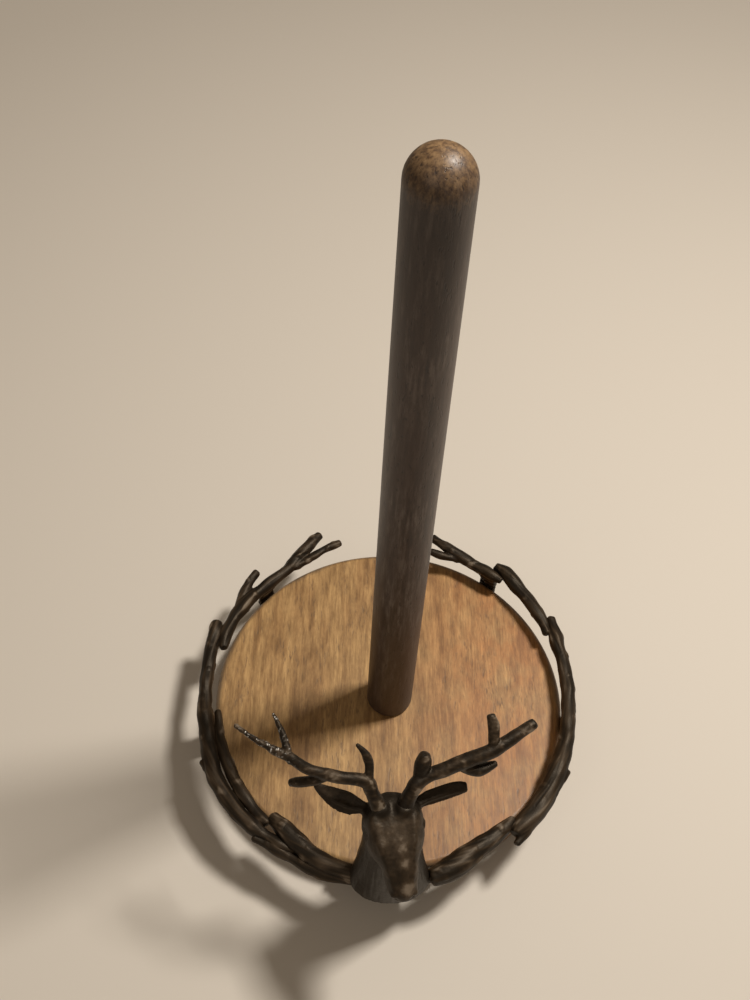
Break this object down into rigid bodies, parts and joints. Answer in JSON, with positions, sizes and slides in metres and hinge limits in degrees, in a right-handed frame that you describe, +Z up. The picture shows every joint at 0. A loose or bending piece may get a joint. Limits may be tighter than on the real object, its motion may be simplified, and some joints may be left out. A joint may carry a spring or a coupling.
{
  "type": "paper towel holder",
  "caption": "Upright paper towel holder: round wooden base and domed post, ringed by a wreath of cast antler branches with a stag head at the front.",
  "frame": {"origin": "centre of the underside of the felt, on the axis of the post", "axes": "+Z up along the post, -Y to the front, where the stag faces, +X to the right seen from the front"},
  "size_m": [0.1871, 0.2164, 0.351],
  "materials": {
    "mango_wood": "matt waxed, warm tan with fine dark vessel flecks",
    "washed_wood": "grey-brown wash with fine dark pores, worn tan on the dome",
    "antique_casting": "dark antique bronze coat, rubbed brown on the high spots, semi-gloss",
    "dark_screws": "black-brown",
    "zinc_steel": "dull zinc",
    "felt": "dark pressed felt"
  },
  "bodies": {
    "root": {"base_disc": "mango_wood", "felt_pad": "felt", "left_antler": "antique_casting", "lug_left": "antique_casting", "lug_rear_left": "antique_casting", "lug_rear_right": "antique_casting", "lug_right": "antique_casting", "lug_screws": "dark_screws", "neck_screws": "dark_screws", "post": "washed_wood", "post_screw": "zinc_steel", "post_washer": "zinc_steel", "right_antler": "antique_casting", "stag_head": "antique_casting", "wreath_front_left_lower": "antique_casting", "wreath_front_left_upper": "antique_casting", "wreath_front_right": "antique_casting", "wreath_rear_left": "antique_casting", "wreath_rear_right": "antique_casting", "wreath_rear_right_fork": "antique_casting", "wreath_side_left": "antique_casting", "wreath_side_left_inner": "antique_casting", "wreath_side_right": "antique_casting"}
  },
  "joints": []
}
